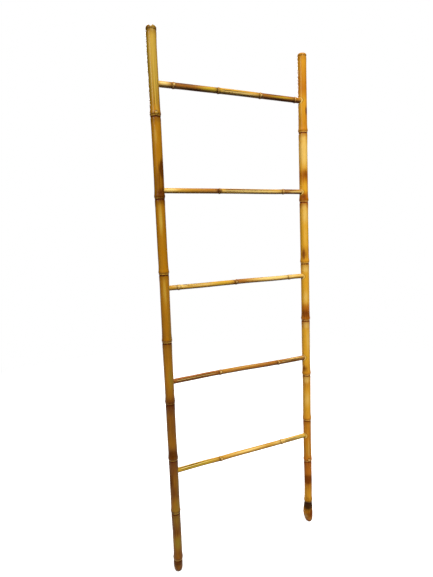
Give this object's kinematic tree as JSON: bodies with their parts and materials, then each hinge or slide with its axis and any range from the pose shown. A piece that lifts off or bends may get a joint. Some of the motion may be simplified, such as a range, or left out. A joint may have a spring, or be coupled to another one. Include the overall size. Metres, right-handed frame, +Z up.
{
  "type": "bamboo ladder",
  "caption": "Leaning ladder of whole varnished bamboo canes, with pegged rungs, for hanging towels and blankets.",
  "frame": {"origin": "on the floor, midway between the feet", "axes": "+Z up along the stiles, +X along the rungs towards the right stile as seen from the front, +Y to the wall"},
  "size_m": [0.5962, 0.0375, 1.8],
  "materials": {
    "left_cane": "varnished bamboo, scorched at the nodes",
    "right_cane": "varnished golden bamboo, scorched in patches",
    "rung_cane": "varnished thin bamboo with dark grooves",
    "peg_bamboo": "bare bamboo end grain"
  },
  "bodies": {
    "root": {"left_stile": "left_cane", "right_stile": "right_cane", "top_rung": "rung_cane", "upper_rung": "rung_cane", "middle_rung": "rung_cane", "lower_rung": "rung_cane", "bottom_rung": "rung_cane", "left_stile_pegs": "peg_bamboo", "right_stile_pegs": "peg_bamboo"}
  },
  "joints": []
}
